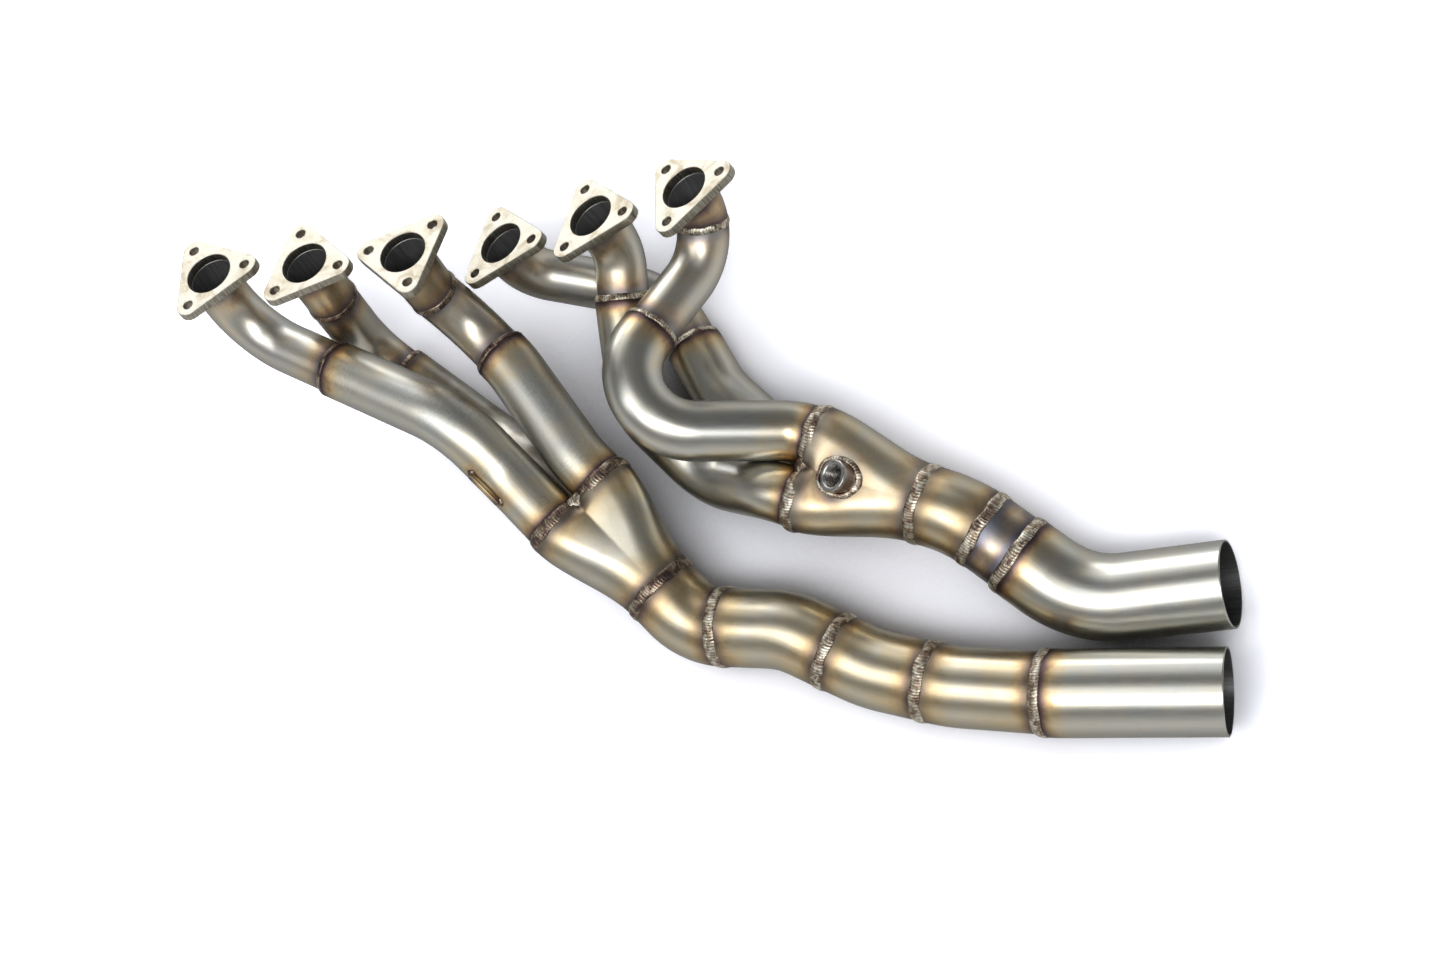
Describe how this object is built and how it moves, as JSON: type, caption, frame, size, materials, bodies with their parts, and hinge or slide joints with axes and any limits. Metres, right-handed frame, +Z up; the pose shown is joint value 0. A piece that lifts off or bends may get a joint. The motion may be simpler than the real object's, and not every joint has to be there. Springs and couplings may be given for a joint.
{
  "type": "exhaust manifold",
  "caption": "Tubular stainless exhaust manifold in two headers, stepped runners from triangular port flanges merging through collectors into outlet pipes.",
  "frame": {"origin": "on the bench the pair lies on, under the middle of the pair's bounding box", "axes": "+X along the pair from the port flanges to the outlets, +Y towards the flange end of the rear header, +Z up from the bench, the way the flange faces look"},
  "size_m": [0.8416, 0.482, 0.2019],
  "materials": {
    "tube": "satin stainless tube, straw tint, heat-coloured at the welds",
    "collector": "satin formed stainless, straw tint, heat-coloured at the welds",
    "flange": "pale satin machined stainless plate",
    "bung": "turned stainless boss, heat-tinted round its weld"
  },
  "bodies": {
    "front_header": {"front_flange_1": "flange", "front_flange_2": "flange", "front_flange_3": "flange", "front_runner_1_upper_tube": "tube", "front_runner_1_lower_tube": "tube", "front_runner_1_tab": "tube", "front_runner_2_stub": "tube", "front_runner_2_upper_tube": "tube", "front_runner_2_lower_tube": "tube", "front_runner_3_stub": "tube", "front_runner_3_upper_tube": "tube", "front_runner_3_lower_tube": "tube", "front_collector": "collector", "front_pipe_segment_1": "tube", "front_pipe_segment_2": "tube", "front_pipe_segment_3": "tube", "front_pipe_segment_4": "tube", "front_outlet_pipe": "tube"},
    "rear_header": {"rear_flange_4": "flange", "rear_flange_5": "flange", "rear_flange_6": "flange", "rear_runner_4_upper_tube": "tube", "rear_runner_4_lower_tube": "tube", "rear_runner_5_upper_tube": "tube", "rear_runner_5_lower_tube": "tube", "rear_runner_6_stub": "tube", "rear_runner_6_upper_tube": "tube", "rear_runner_6_lower_tube": "tube", "rear_collector": "collector", "rear_oxygen_sensor_bung": "bung", "rear_pipe_segment_1": "tube", "rear_pipe_segment_2": "tube", "rear_outlet_pipe": "tube"}
  },
  "joints": [
    {"name": "rear_header_slide", "type": "slide", "parent": "front_header", "child": "rear_header", "axis": [0, 1, 0], "range_m": [0, 0.15]}
  ]
}
